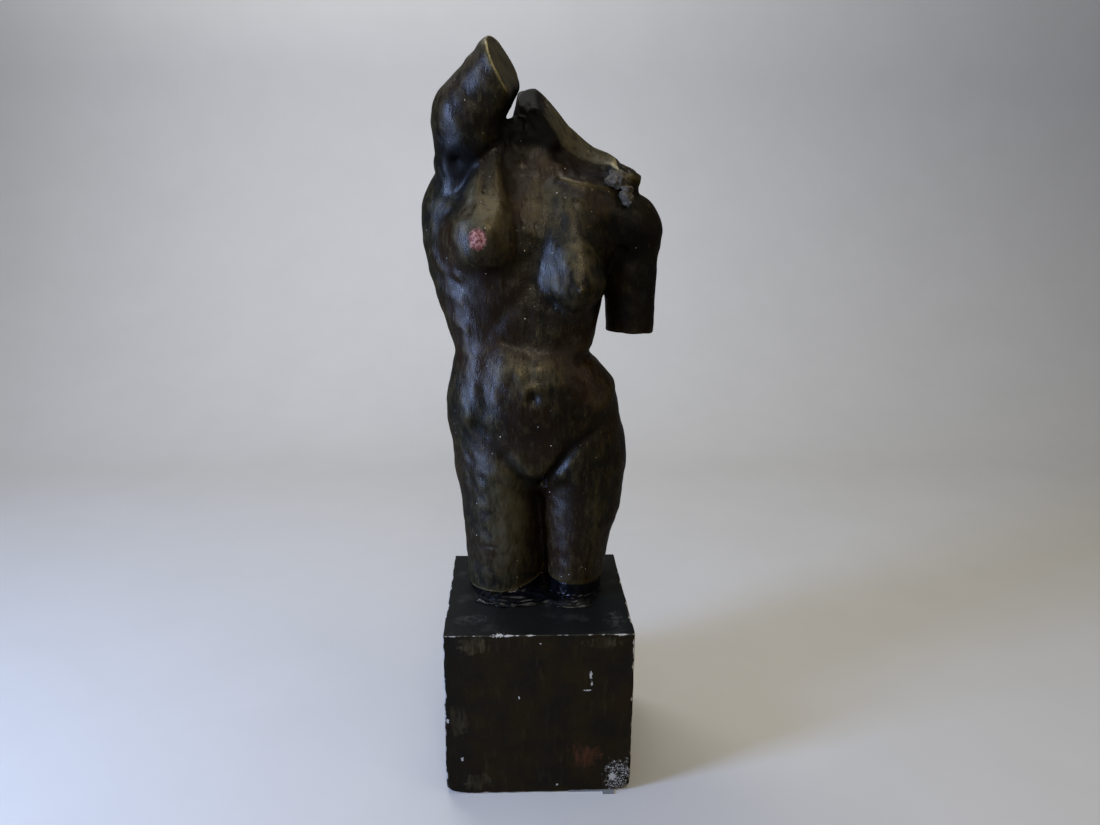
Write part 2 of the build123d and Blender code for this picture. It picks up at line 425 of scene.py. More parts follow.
# %% Chest and shoulders
CHEST = [
    # strands that draw the right breast up to the raised arm, and the hollows beside them
    ([(-54, -14, 428), (-57, -19, 414), (-60, -25, 396)], 8, 1.6),
    ([(-38, 0, 457), (-35, -13, 426), (-33, -27, 392), (-44, -40, 366)], 8, 2.2),
    ([(-62, 0, 436), (-70, -4, 418), (-76, -10, 398)], 9, -2.5),
    ([(-43, -2, 446), (-46, -16, 420), (-46, -26, 398)], 5, -1.2),
    ([(-25, 2, 440), (-21, -12, 416), (-18, -22, 386), (-17, -24, 356)], 9, -3),
    # the fold under the raised arm
    ([(-30, 4, 463), (-50, -4, 450), (-64, -2, 438), (-72, -2, 428)], 6, -4),
    ((-76, 0, 424), (8, 10, 10), -3),
    # folds under the breasts, and the furrow between them
    ([(-66, -22, 338), (-50, -30, 326), (-32, -29, 328), (-18, -24, 340)], 8, -1.8),
    ([(12, -26, 300), (28, -35, 289), (46, -30, 290), (58, -12, 302)], 7, -2.6),
    ([(4, -18, 402), (0, -24, 362), (-6, -27, 322)], 9, -3),
    # the left breast rises to its nipple; the right nipple
    ([(28, -14, 384), (39, -29, 357), (42, -38, 332), (38, -43, 315)], 9, 1.6),
    ((38, -45, 313), (4, 4, 4), 3),
    ((-55, -46, 358), (5, 5, 5), 1.5),
    # collar bones, the hollow above the left one and the pit of the throat
    ([(20, -4, 410), (38, -9, 407), (60, -3, 402), (76, 8, 396)], 5, 3),
    ([(20, 12, 432), (40, 14, 424), (60, 18, 417)], 8, -8),
    ([(30, 4, 420), (46, 4, 417), (60, 8, 412)], 6, -4),
    ([(0, -4, 412), (-18, -6, 424), (-34, 0, 442)], 6, 1.5),
    ((8, -6, 416), (8, 9, 8), -4),
    # the crease between the hanging arm and the ribs
    ([(78, 6, 346), (73, 5, 326), (66, 12, 302)], 4, -7),
    ([(66, -6, 366), (72, -2, 350)], 6, -2),
]

# %% Belly and hips
BELLY = [
    # the arch of the ribs
    ([(-12, -28, 312), (-34, -31, 290), (-60, -24, 264)], 8, -2.2),
    ([(0, -28, 312), (22, -30, 288), (42, -20, 264)], 8, -2.2),
    # the lines down the belly: its middle and its two sides
    ([(-8, -30, 300), (-9, -34, 262), (-7, -38, 232)], 6, -1.8),
    ([(-42, -29, 272), (-50, -31, 238), (-50, -33, 200)], 9, -2),
    ([(28, -29, 264), (33, -32, 234), (38, -34, 204)], 9, -2),
    # the belly itself, with a crease above it
    ((-7, -38, 194), (36, 20, 24), 3.5),
    ((-10, -36, 232), (30, 16, 20), 3.5),
    ([(-30, -28, 262), (-4, -33, 258), (24, -30, 258)], 8, -2),
    # the navel, with a hood above it and a nick below
    ((-5, -42, 214), (5, 8, 6), -6),
    ([(-12, -41, 221), (-5, -42, 224), (3, -41, 221)], 4, 1.3),
    ((-6, -42, 194), (1.6, 4, 1.6), -2),
    # hip bones, and the crease of the waist over the left hip
    ((-66, -22, 194), (13, 13, 15), 2.5),
    ([(78, 22, 222), (68, -4, 216), (58, -22, 202)], 9, 3),
    ([(38, -20, 246), (52, 4, 250), (56, 34, 250), (44, 60, 246)], 5, -3.5),
]
RIB_SPACING = 24
for low in RIB_SPACING * np.arange(4):
    BELLY.append(([(-104 + low / 8, 22, 350 - low), (-92 + low / 9, -4, 332 - low),
                   (-72 + low / 12, -20, 322 - low)], 5, 1.1))

# %% Thighs
THIGHS = [
    # the tops of the thighs
    ((-38, -24, 136), (20, 16, 26), 3),
    ((34, -28, 146), (22, 16, 26), 4),
    # groin creases, the crease over the mound, and the mound
    ([(-58, -26, 184), (-46, -34, 169), (-33, -32, 154)], 6, -3.5),
    ([(-33, -32, 154), (-18, -28, 137), (-1, -20, 117)], 5.5, -6),
    ([(64, -22, 184), (46, -30, 175), (30, -32, 162)], 6, -3.5),
    ([(30, -32, 162), (14, -27, 138), (1, -20, 117)], 5.5, -6),
    ([(-42, -37, 168), (-20, -39, 161), (-4, -40, 159), (14, -39, 161), (30, -35, 168)], 4.5, -2.5),
    ((-2, -32, 142), (16, 10, 15), 3.5),
    # long muscles down the front, and flatter places beside them
    ([(-32, -24, 130), (-35, -20, 90), (-34, -14, 30)], 20, 2),
    ([(40, -26, 130), (42, -26, 90), (40, -22, 30)], 18, 2),
    ([(-62, -8, 150), (-64, -4, 90), (-60, 0, 30)], 9, -1.5),
    ([(70, -8, 150), (68, -8, 90), (58, -8, 30)], 9, -1.5),
    # the groove between the thighs, and a nick
    ([(0, -20, 116), (3, -18, 80), (6, -16, 50), (9, -14, 14)], 4, -7),
    ((-47, -18, 57), (6, 5, 1.3), -2),
]

# %% Back
BACK = [
    # the groove of the spine
    ([(6, 78, 430), (-4, 92, 380), (-12, 90, 330), (-15, 72, 270), (-12, 70, 240), (-2, 84, 205),
      (2, 94, 180)], 8, -5),
    # shoulder blades and their inner edges
    ((-64, 84, 380), (22, 14, 34), 5),
    ((44, 88, 366), (20, 14, 32), 4.5),
    ([(-40, 94, 414), (-44, 96, 376), (-58, 90, 342)], 7, -3),
    ([(20, 90, 396), (22, 94, 366), (34, 88, 336)], 7, -3),
    # flanks
    ([(-92, 62, 340), (-74, 76, 292), (-52, 74, 256)], 14, 3),
    ([(70, 64, 322), (52, 74, 286), (34, 70, 256)], 13, 3),
    # muscles on either side of the spine
    ([(-34, 86, 330), (-34, 74, 272), (-28, 78, 222)], 11, 3),
    ([(10, 88, 330), (6, 74, 272), (14, 80, 222)], 11, 3),
    # the seat: its cleft, its folds below, its dimples and hip hollows
    ([(2, 96, 178), (2, 106, 150), (2, 106, 118), (2, 96, 90)], 7, -13),
    ([(-68, 82, 92), (-42, 100, 82), (-12, 92, 86)], 6, -5),
    ([(14, 92, 90), (44, 102, 84), (74, 86, 92)], 6, -6),
    ((-20, 86, 198), (7, 8, 7), -2.5),
    ((22, 86, 200), (7, 8, 7), -2.5),
    ((-78, 56, 128), (14, 16, 22), -3),
    ((84, 56, 132), (12, 16, 22), -3),
]
print("touches", len(CHEST) + len(BELLY) + len(THIGHS) + len(BACK))

# %% [markdown]
# The two breaks are rougher than the rest: plaster tears like stale bread. The broken place at the
# throat is sunk and filled with coarse noise. Fine unevenness over the whole cast comes from a sum
# of waves in random directions, which is smooth, repeatable and has any size we choose.

# %% Unevenness
WAVES = 24


def waves(p, size, seed):
    """Smooth random bumps between about -1 and 1, with features of a given size in millimetres."""
    draw = np.random.default_rng(seed)
    directions = draw.normal(size=(WAVES, 3))
    directions /= np.linalg.norm(directions, axis=1)[:, None]
    steps = directions * (2 * pi / size * draw.uniform(0.6, 1.4, (WAVES, 1)))
    total = np.zeros(len(p), dtype=np.float32)
    for step, phase in zip(steps.astype(np.float32), draw.uniform(0, 2 * pi, WAVES)):
        total += np.sin(p @ step + np.float32(phase))
    return total / np.sqrt(WAVES)


def near_to(p, centre, radii, axes=None):
    """One at a centre, fading to nothing outside the radii."""
    q = p - vec(*centre)
    q = q @ axes if axes is not None else q
    return np.exp(-((q / vec(*radii)) ** 2).sum(axis=1))


# %% The whole figure
CUT_RISE_START, CUT_RISE_END = -35.5, 6.5
RIGHT_CUT, RIGHT_CUT_INSIDE, LEFT_CUT = 3.0, 15.0, 17.0


def thigh_cut_height(x):
    """How high the plaster is sawn off above the plinth, across the two thighs."""
    return np.interp(x, [CUT_RISE_START, CUT_RISE_END, CUT_RISE_END + 1],
                     [RIGHT_CUT, RIGHT_CUT_INSIDE, LEFT_CUT]).astype(np.float32)


def figure(p):
    """Distance to the figure's outer surface."""
    d = big_masses(p)
    work(p, d, CHEST + BELLY + THIGHS + BACK)
    torn_throat = near_to(p, (-16, 5, 463), (12, 16, 18), turned(12))
    d += torn_throat * (9 + 1.8 * waves(p, 9, 11) + 0.9 * waves(p, 5, 12))
    torn_shoulder = near_to(p, (80, 18, 414), (16, 18, 16))
    d += torn_shoulder * (1.2 * waves(p, 12, 13))
    d += 0.35 * waves(p, 38, 14) + 0.22 * waves(p, 15, 15)
    return cut(d, thigh_cut_height(p[:, 0]) - p[:, 2], 1.5)


# %% [markdown]
# ## From distance to mesh
# A grid of distances becomes a mesh by "surface nets": each grid cell that the surface passes
# through gets one point, and each grid edge that it crosses gets one face. A fine grid all over the
# box would take minutes, so a grid four times as coarse first finds where the surface is, and the
# fine one is filled only there, in parts that fit in memory.

# %% Fill a grid near the surface
COARSE = 4
PART = 400_000


def fill_grid(distance, low, step, shape):
    """Sample a distance on a grid, finely only near its surface."""
    rough_shape = tuple(n // COARSE + 2 for n in shape)
    rough = np.stack(np.meshgrid(*[np.arange(n) for n in rough_shape], indexing="ij"), -1)
    rough = distance((low + rough.reshape(-1, 3) * step * COARSE).astype(np.float32)).reshape(rough_shape)
    for axis in range(3):
        rough = np.repeat(rough, COARSE, axis=axis)
    grid = np.roll(rough, COARSE // 2, axis=(0, 1, 2))[:shape[0], :shape[1], :shape[2]].copy()
    near = np.argwhere(np.abs(grid) < step * COARSE * 1.8 + 6)
    for part in np.array_split(near, max(1, len(near) // PART)):
        grid[tuple(part.T)] = distance((low + part * step).astype(np.float32))
    return grid


# %% Surface nets
def net_points(grid, low, step):
    """One point in each cell that the surface passes through, and the cells' numbers."""
    inside = grid < 0
    cells = tuple(n - 1 for n in grid.shape)
    total, hits = np.zeros(cells + (3,), np.float32), np.zeros(cells, np.int32)
    corner = lambda a: tuple(slice(a[i], a[i] + cells[i]) for i in range(3))
    for axis in range(3):
        for u in (0, 1):
            for v in (0, 1):
                start = np.roll([0, u, v], axis)
                end = start.copy()
                end[axis] = 1
                a, b = grid[corner(start)], grid[corner(end)]
                crossed = inside[corner(start)] != inside[corner(end)]
                place = np.broadcast_to(start.astype(np.float32), cells + (3,)).copy()
                place[..., axis] = a / np.where(crossed, a - b, 1)
                total[crossed] += place[crossed]
                hits += crossed
    used = hits > 0
    number = np.full(cells, -1)
    number[used] = np.arange(used.sum())
    return low + (np.argwhere(used) + total[used] / hits[used][:, None]) * step, number


def net_faces(grid, number):
    """One four-sided face round each grid edge that the surface crosses."""
    inside, faces = grid < 0, []
    for axis in range(3):
        other = [(axis + 1) % 3, (axis + 2) % 3]
        ends = np.zeros(3, int)
        ends[axis] = 1
        size = tuple(grid.shape[i] - (1 if i == axis else 0) for i in range(3))
        first = inside[tuple(slice(0, n) for n in size)]
        second = inside[tuple(slice(ends[i], ends[i] + size[i]) for i in range(3))]
        for solid_first in (True, False):
            edge = np.argwhere((first != second) & (first == solid_first))
            edge = edge[(edge[:, other[0]] > 0) & (edge[:, other[1]] > 0)]
            ring = []
            for du, dv in ((0, 0), (1, 0), (1, 1), (0, 1)):
                cell = edge.copy()
                cell[:, other[0]] -= du
                cell[:, other[1]] -= dv
                ring.append(number[tuple(cell.T)])
            face = np.stack(ring, axis=1)
            faces.append(face if solid_first else face[:, ::-1])
    return np.concatenate(faces)


# %% [markdown]
# Fresh from the grid, the mesh shows steps. Moving each point to the mean of its neighbours and then
# back onto the surface, along the direction in which the distance grows, evens them out. Two rounds
# are enough.

# %% Even the mesh out
def slopes(distance, points, reach=0.4):
    """The direction in which the distance grows, at each point."""
    grow = []
    for axis in range(3):
        step = np.zeros(3, np.float32)
        step[axis] = reach
        grow.append(distance(points + step) - distance(points - step))
    grow = np.stack(grow, axis=1)
    return grow / np.maximum(np.linalg.norm(grow, axis=1), 1e-6)[:, None]


def neighbours_mean(points, faces):
    """The mean of each point's neighbours along the faces' edges."""
    total, count = np.zeros_like(points), np.zeros(len(points))
    for a, b in ((0, 1), (1, 2), (2, 3), (3, 0)):
        for near, far in ((a, b), (b, a)):
            for axis in range(3):
                total[:, axis] += np.bincount(faces[:, near], points[faces[:, far], axis], len(points))
            count += np.bincount(faces[:, near], minlength=len(points))
    return total / np.maximum(count, 1)[:, None]


def skin(distance, low, high, step, rounds=2):
    """Mesh the zero surface of a distance between two corners, and even its points out."""
    low, high = np.array(low, float), np.array(high, float)
    shape = tuple(np.ceil((high - low) / step).astype(int) + 1)
    grid = fill_grid(distance, low, step, shape)
    points, number = net_points(grid, low, step)
    faces = net_faces(grid, number)
    for _ in range(rounds):
        points = (points + neighbours_mean(points, faces)) / 2
        flat = points.astype(np.float32)
        points = points - slopes(distance, flat) * distance(flat)[:, None]
    return points, faces


# %% Skin of the figure
STEP = 2.0
figure_points, figure_faces = skin(
    figure, (-130, -70, -4), (140, 130, figure_height + 10), STEP)
figure_points[:, 2] += plinth_top
torso = make_piece("torso_surface", figure_points, figure_faces)
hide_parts("torso_shell")
reach = np.array([figure_points.min(axis=0), figure_points.max(axis=0)])
print("figure from", reach[0].round(1), "to", reach[1].round(1))


# %% [markdown]
# The finish changes from place to place: high spots are rubbed, hollows keep the dark paint. How
# far each point stands out from the average of its neighbourhood tells the material which is which.

# %% Numbers for the paint
def keep(piece, name, values):
    """Store one number per point on the mesh, for a material to read by name."""
    layer = piece.data.attributes.new(name, "FLOAT", "POINT")
    layer.data.foreach_set("value", np.asarray(values, dtype=np.float32))


def standing_out(distance, points, faces, spread):
    """How far each point stands out, in millimetres, from its surroundings of a given width."""
    average = points
    for _ in range(max(2, int(spread ** 2 / STEP ** 2))):
        average = neighbours_mean(average, faces)
    return ((points - average) * slopes(distance, points.astype(np.float32))).sum(axis=1)


on_plinth = (figure_points - [0, 0, plinth_top]).astype(np.float32)
high = standing_out(figure, on_plinth, figure_faces, 7)
keep(torso, "high", np.clip(high, -3, 3))
print("stands out", high.min().round(1), "to", high.max().round(1), "mm")

# %% [markdown]
# The paint is thin on the arm's cut face and on the right half of the neck's break, and lighter along
# their rims and along the foot of the right thigh. Each place is found by its distance to the cut.

# %% Cut faces and rims
arm_cut, neck_break = np.abs(above_arm_cut(on_plinth)), np.abs(above_break(on_plinth))
on_stump = whole_stump(on_plinth) < 3
on_neck = (on_plinth[:, 0] > -6) & (on_plinth[:, 0] < 74)
on_face = (neck_break < 1.6) & on_neck & (on_plinth[:, 0] > 6 + 4 * waves(on_plinth, 14, 51))
keep(torso, "bare", ((arm_cut < 1.6) & on_stump) | on_face)
arm_rim = np.exp(-(arm_cut / 2.2) ** 2 - (whole_stump(on_plinth) / 2.2) ** 2)
neck_rim = np.exp(-(neck_break / 1.8) ** 2 - (unbroken(on_plinth) / 1.8) ** 2) * on_neck
foot = on_plinth[:, 2] - thigh_cut_height(on_plinth[:, 0])
foot_rim = 0.75 * np.exp(-((foot - 1) / 2.2) ** 2) * (on_plinth[:, 0] < 6)
keep(torso, "rim", np.maximum(np.maximum(arm_rim, neck_rim), foot_rim))

# %% [markdown]
# Some places get painted shade: under the raised arm and along the fold beneath it, under the right
# breast, over the ribs and the lower belly, over and beside the hanging arm, on the left thigh, in the
# groin creases, between the thighs and under the rim of the neck's break. The torn throat and the top
# of the neck are painted dark. These places are also duller. Other places get painted highlights,
# where the bronze powder is also rubbed. They are marked with the same touches as before, worked into
# a number instead of into the surface: a touch that would sink the surface makes the number larger.

# %% Painted shade, dark paint and painted highlights
# painted shade under the raised arm, the right breast and the hanging arm, in the groin and between the
# thighs, and dark paint at the torn throat and the top of the neck
SHADE_AND_DARK_PAINT = [
    ((-16, 6, 462), (17, 24, 22), -2.5), ((-8, 30, 486), (11, 26, 12), -1.6),
    ((-68, -4, 430), (19, 18, 15), -1.4), ((-74, -6, 414), (12, 14, 11), -1.0),
    ((92, 22, 296), (34, 44, 54), -0.75), ((92, 20, 366), (30, 40, 34), -0.7),
    ((-52, -36, 326), (26, 12, 8), -0.8), ((-62, -8, 462), (22, 26, 16), -0.5),
    ((60, -16, 300), (14, 20, 26), -0.6), ((-24, -26, 292), (46, 22, 26), -0.5),
    ((-6, -38, 192), (40, 20, 26), -0.35), ((36, -28, 96), (22, 20, 60), -0.4),
    ((0, -20, 70), (9, 14, 60), -1.0),
    ([(2, 4, 456), (20, 5, 438), (40, 9, 426), (60, 12, 418)], 11, -1.7),
    ([(-30, 0, 458), (-48, -4, 448), (-68, -4, 436)], 8, -0.9),
    ([(-58, -28, 182), (-33, -32, 152), (-1, -20, 117), (30, -32, 162), (60, -24, 184)], 5, -0.7),
]
# painted highlights, where the bronze powder is also rubbed: the top of the belly, the front of the right
# thigh, the right breast, the chest, the left thigh and the left breast
HIGHLIGHT_AND_RUB = [
    ((-10, -38, 238), (30, 16, 16), -0.6), ((-28, -20, 92), (16, 16, 56), -1.2),
    ((-44, -34, 388), (20, 16, 26), -1.3), ((2, -10, 396), (20, 16, 26), -0.4),
    ((56, -20, 90), (8, 20, 44), -0.5), ((34, -34, 340), (16, 16, 22), -0.4),
]
for name, touches in (("shade_and_dark", SHADE_AND_DARK_PAINT), ("highlight_and_rub", HIGHLIGHT_AND_RUB)):
    amount = np.zeros(len(on_plinth), dtype=np.float32)
    work(on_plinth, amount, touches)
    keep(torso, name, np.clip(amount, 0, 1))
    print(name, "share of the points", (amount > 0.5).mean().round(3))

# %% [markdown]
# ## Putty and bedding
# The shoulder was mended with a crumbly putty. It fills the corner between the arm and the neck, so
# we model a rough lump and take the figure away from it, with a hair of space between the two. The
# cut thighs stand in plaster that ran out over the plinth while wet. Its height falls with the
# distance from the thighs, with ripples that follow them.

# %% Putty
putty_low, putty_high = (np.array(corner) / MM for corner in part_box("shoulder_putty"))
putty_middle = (putty_low + putty_high) / 2 - [0, 0, plinth_top]


def putty(p):
    """Distance to the lump of putty in the corner of the shoulder."""
    q = p - putty_middle.astype(np.float32)
    lump = join(egg(q, (-3, -7, 7), (11, 9, 8)), egg(q, (5, -13, -7), (6, 7, 10), turned(-16)), 6)
    lump = lump - 1.2 * waves(p, 10, 21) - 0.6 * waves(p, 4, 22)
    return cut(lump, 0.3 - figure(p), 0.5)


lump_points, lump_faces = skin(putty, putty_middle - 26, putty_middle + 26, 1.2, rounds=1)
lump_points[:, 2] += plinth_top
putty_piece = make_piece("putty_lump", lump_points, lump_faces)
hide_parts("shoulder_putty")

# %% Bedding
rods = [np.array(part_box(name)).mean(axis=0) / MM for name in ("right_thigh_rod", "left_thigh_rod")]
ROD_HOLE = 5.15


def oval(p, centre, radii):
    """Level distance to an oval."""
    x, y = (p[:, 0] - centre[0]) / radii[0], (p[:, 1] - centre[1]) / radii[1]
    return (np.hypot(x, y) - 1) * min(radii)


def bedding(p):
    """Distance to the plaster that the thighs stand in."""
    level = p * vec(1, 1, 0)
    thighs = np.minimum(column(level, RIGHT_THIGH, 2.15), column(level, LEFT_THIGH, 2.15))
    pool = join(thighs - 2.5, oval(p, (-22, -14), (46, 24)), 8)
    pool = join(pool, oval(p, (34, -20), (28, 19)), 8) + 1.1 * waves(level, 22, 31)
    height = 3.6 * (1 - np.exp(np.minimum(pool, 2) / 7)) + 0.5 * waves(level, 16, 32) * (pool < -2)
    height += 0.8 * np.sin(pool * 0.95 + waves(level, 30, 33)) * np.clip(-pool / 4, 0, 1)
    height += 2.2 * near_to(level, (46, -36, 0), (7, 4, 9))
    height += 1.6 * near_to(level, (28, -35, 0), (9, 4, 9))
    d = (p[:, 2] - height) * 0.8
    boss = both_thighs(p) + 1.6
    d = join(d, np.maximum(boss, p[:, 2] - thigh_cut_height(p[:, 0]) + 0.3), 2)
    for middle in rods:
        hole = ROD_HOLE - np.hypot(p[:, 0] - middle[0], p[:, 1] - middle[1])
        d = np.maximum(d, hole.astype(np.float32))
    return np.maximum(d, 0.05 - p[:, 2])


bed_points, bed_faces = skin(bedding, (-92, -60, -2), (92, 84, 20), 1.3, rounds=1)
bed_points[:, 2] += plinth_top
bed = make_piece("bedding_pool", bed_points, bed_faces)
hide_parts("thigh_bedding")

# %% [markdown]
# ## The plinth
# The block's edges have been knocked off over the years. A net of lines is laid over each side, close
# together near the edges. Then the net is drawn in round every edge, with a radius that changes from
# place to place and grows where a corner is gone.

# %% Net over a box
def graded(size, step):
    """Positions across a side, close together near both ends."""
    near = np.array([0, 0.5, 1.0, 1.6, 2.4, 3.4, 5.0, 7.5])
    inner = np.linspace(near[-1], size - near[-1], int((size - 2 * near[-1]) / step) + 2)[1:-1]
    return np.concatenate([near, inner, (size - near)[::-1]])


def box_net(low, high, step):
    """Points and faces over the six sides of a box."""
    points, faces, count = [], [], 0
    for axis in range(3):
        u, v = (axis + 1) % 3, (axis + 2) % 3
        us = low[u] + graded(high[u] - low[u], step)
        vs = low[v] + graded(high[v] - low[v], step)
        grid = np.stack(np.meshgrid(us, vs, indexing="ij"), -1).reshape(-1, 2)
        row, place = np.divmod(np.arange((len(us) - 1) * (len(vs) - 1)), len(vs) - 1)
        a = row * len(vs) + place
        quads = np.stack([a, a + len(vs), a + len(vs) + 1, a + 1], axis=1)
        for outer, value in ((False, low[axis]), (True, high[axis])):
            side = np.empty((len(grid), 3))
            side[:, u], side[:, v], side[:, axis] = grid[:, 0], grid[:, 1], value
            points.append(side)
            faces.append((quads if outer else quads[:, ::-1]) + count)
            count += len(side)
    points, faces = np.concatenate(points), np.concatenate(faces)
    _, first, index = np.unique(points.round(4), axis=0, return_index=True, return_inverse=True)
    return points[first], index.reshape(-1)[faces]


# %% Worn block
block_points, block_faces = box_net(plinth_low, plinth_high, 4.0)
to_side = np.minimum(block_points - plinth_low, plinth_high - block_points)
to_edge = np.sort(to_side, axis=1)[:, 1]
radius = 1.5 + 0.5 * waves(block_points, 26, 41) + 1.3 * np.clip(waves(block_points, 9, 42) - 1, 0, 2)
for x in (-90, 90):
    radius += 6.5 * near_to(block_points, (x, -90, 0), (15, 15, 12))
    radius += 3.0 * near_to(block_points, (x, 90, 0), (14, 14, 12))
for centre, radii, more in (((-38, -90, 172), (5, 9, 9), 2.0), ((88, -90, 104), (9, 9, 6), 1.5),
                            ((-88, -90, 84), (9, 9, 7), 1.5)):
    radius += more * near_to(block_points, centre, radii)
radius = np.clip(radius, 0.7, 9)[:, None]
core = np.clip(block_points, plinth_low + radius, plinth_high - radius)
outward = block_points - core
outward /= np.linalg.norm(outward, axis=1)[:, None]
block_points = core + outward * radius
dent = 0.22 * waves(block_points, 45, 43) + 0.12 * waves(block_points, 14, 44)
block_points -= outward * np.maximum(dent + 0.2, 0)[:, None]
block_points[:, 2] = np.maximum(block_points[:, 2], plinth_low[2])
block = make_piece("plinth_block", block_points, block_faces)
keep(block, "edge", np.clip(1 - to_edge / 14, 0, 1))
keep(block, "painted", np.clip((block_points[:, 2] - 0.5) / 1.0, 0, 1))

# %% [markdown]
# The block is hollow underneath, with two bores for the rods and a shallow relief for the strip of
# clear sheet that was packed under one corner. Simple cutters take these away.

# %% Hollow, bores and relief
WALL = 18.0
RELIEF_GAP = 0.3


def block_cutter(low, high):
    """A plain box to cut with."""
    corners = np.array([[x, y, z] for x in (low[0], high[0]) for y in (low[1], high[1])
                        for z in (low[2], high[2])])
    sides = [(0, 1, 3, 2), (4, 6, 7, 5), (0, 4, 5, 1), (2, 3, 7, 6), (0, 2, 6, 4), (1, 5, 7, 3)]
    return corners, sides


def round_cutter(x, y, radius, low, high, sides=32):
    """A plain upright cylinder to cut with."""
    turn = 2 * pi * np.arange(sides) / sides
    ring = np.stack([x + radius * np.cos(turn), y + radius * np.sin(turn)], axis=1)
    points = np.concatenate([np.c_[ring, np.full(sides, low)], np.c_[ring, np.full(sides, high)]])
    walls = [(i, (i + 1) % sides, (i + 1) % sides + sides, i + sides) for i in range(sides)]
    return points, walls + [tuple(range(sides))[::-1], tuple(range(sides, 2 * sides))]


def take_away(piece, cutters):
    """Cut simple bodies out of a piece."""
    tools = []
    for number, (points, faces) in enumerate(cutters):
        mesh = bpy.data.meshes.new("cutter")
        mesh.from_pydata((np.asarray(points) * MM).tolist(), [], faces)
        tool = bpy.data.objects.new("cutter", mesh)
        bpy.context.collection.objects.link(tool)
        step = piece.modifiers.new(f"cut {number}", "BOOLEAN")
        step.operation, step.solver, step.object = "DIFFERENCE", "EXACT", tool
        tools.append(tool)
    ready = piece.evaluated_get(bpy.context.evaluated_depsgraph_get())
    result = bpy.data.meshes.new_from_object(ready)
    piece.modifiers.clear()
    piece.data = result
    for tool in tools:
        bpy.data.meshes.remove(tool.data)


slab_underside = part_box("rod_washers")[1][2] / MM
shim_low, shim_high = (np.array(corner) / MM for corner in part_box("corner_shim"))
take_away(block, [
    block_cutter((plinth_low[0] + WALL, plinth_low[1] + WALL, -5),
                 (plinth_high[0] - WALL, plinth_high[1] - WALL, slab_underside)),
    round_cutter(*rods[0][:2], ROD_HOLE, slab_underside - 5, plinth_top + 5),
    round_cutter(*rods[1][:2], ROD_HOLE, slab_underside - 5, plinth_top + 5),
    block_cutter((shim_low[0] - RELIEF_GAP, plinth_low[1] - 5, -5),
                 (shim_high[0] + RELIEF_GAP, shim_high[1] + RELIEF_GAP, shim_high[2] + RELIEF_GAP)),
])
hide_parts("plinth_shell")
print("plinth faces after cutting", len(block.data.polygons))


# %% [markdown]
# ## Patterns
# Every material is built from a few patterns of a known size in millimetres: grain, soft spots at a
# place, and flecks. A short function makes each pattern, and another lays coats of colour over one
# another.

# %% Patterns
def grain(m, where, size, stretch=1.0, detail=3.0):
    """Noise with features of a size in millimetres, drawn out upwards by a stretch."""
    scaled = add(m, "Mapping", Vector=where, Scale=(1, 1, 1 / stretch))
    return add(m, "TexNoise", Vector=scaled, Scale=1000 / size, Detail=detail, Roughness=0.6)


def spot(m, where, centre, radii, ragged=0.5, size=3.5):
    """One inside a spot at a place on the piece, zero outside, with a ragged edge."""
    away = add(m, "VectorMath", where, [c * MM for c in centre], operation="SUBTRACT")
    away = add(m, "VectorMath", away, [r * MM for r in radii], operation="DIVIDE")
    reach = add(m, "VectorMath", away, operation="LENGTH", out="Value")
    rough = add(m, "Math", grain(m, where, size, detail=4), ragged * 2, operation="MULTIPLY")
    reach = add(m, "Math", reach, rough, operation="ADD")
    return add(m, "MapRange", reach, 1.15 + ragged, 0.8 + ragged)


def specks(m, where, spacing, size, share):
    """Small flecks: points scattered about a spacing apart, of which only a share show."""
    cells = add(m, "TexVoronoi", Vector=where, Scale=1000 / spacing)
    kind = add(m, "SeparateColor", cells.node.outputs["Color"])
    shown = add(m, "MapRange", kind, 1 - share, 1 - share + 0.01)
    near = add(m, "MapRange", cells, size / spacing, 0.7 * size / spacing)
    return add(m, "Math", shown, near, operation="MULTIPLY")


def coats(m, tone, layers):
    """Lay colours over a first one: each layer is a share and a colour."""
    for share, colour in layers:
        tone = add(m, "Mix", share, data_type="RGBA", A=tone, B=colour)
    return tone


def finish(m, colour, roughness, bumps, **more):
    """Wire a colour, a roughness and bumps, whose depths are in millimetres, into the surface."""
    normal = None
    for height, depth in bumps:
        normal = add(m, "Bump", Height=height, Distance=depth * MM, Strength=1.0, Normal=normal)
    shader = add(m, "BsdfPrincipled", Base_Color=colour, Roughness=roughness, Normal=normal, **more)
    add(m, "OutputMaterial", Surface=shader)


# %% [markdown]
# ## Bronzed plaster
# This is plaster painted to look like bronze. The ground is near black, with olive stippled over it
# in clouds about 22 mm across, and warm brown on the ribs and the belly.

# %% The ground of the bronze
bronze = new_material("bronzed_plaster")
place = add(bronze, "TexCoord", out="Object")
high, shade_and_dark, highlight_and_rub, rim, bare = (add(bronze, "Attribute", attribute_name=name, out="Fac")
                                 for name in ("high", "shade_and_dark", "highlight_and_rub", "rim", "bare"))
broad, cloud = grain(bronze, place, 70), grain(bronze, place, 22)
streak = grain(bronze, place, 6, stretch=2.6, detail=5)
layers = [(add(bronze, "MapRange", cloud, 0.36, 0.66), BRONZE_OLIVE),
          (add(bronze, "MapRange", broad, 0.46, 0.66), BRONZE_BROWN)]
for centre, radii in (((-48, -16, 458), (46, 40, 62)), ((44, -20, 428), (30, 30, 42)),
                      ((22, -20, 240), (34, 40, 60))):
    warm = add(bronze, "Math", spot(bronze, place, centre, radii, 1.4), 0.75, operation="MULTIPLY")
    layers.append((warm, BRONZE_BROWN))
print("coats of the ground", len(layers))
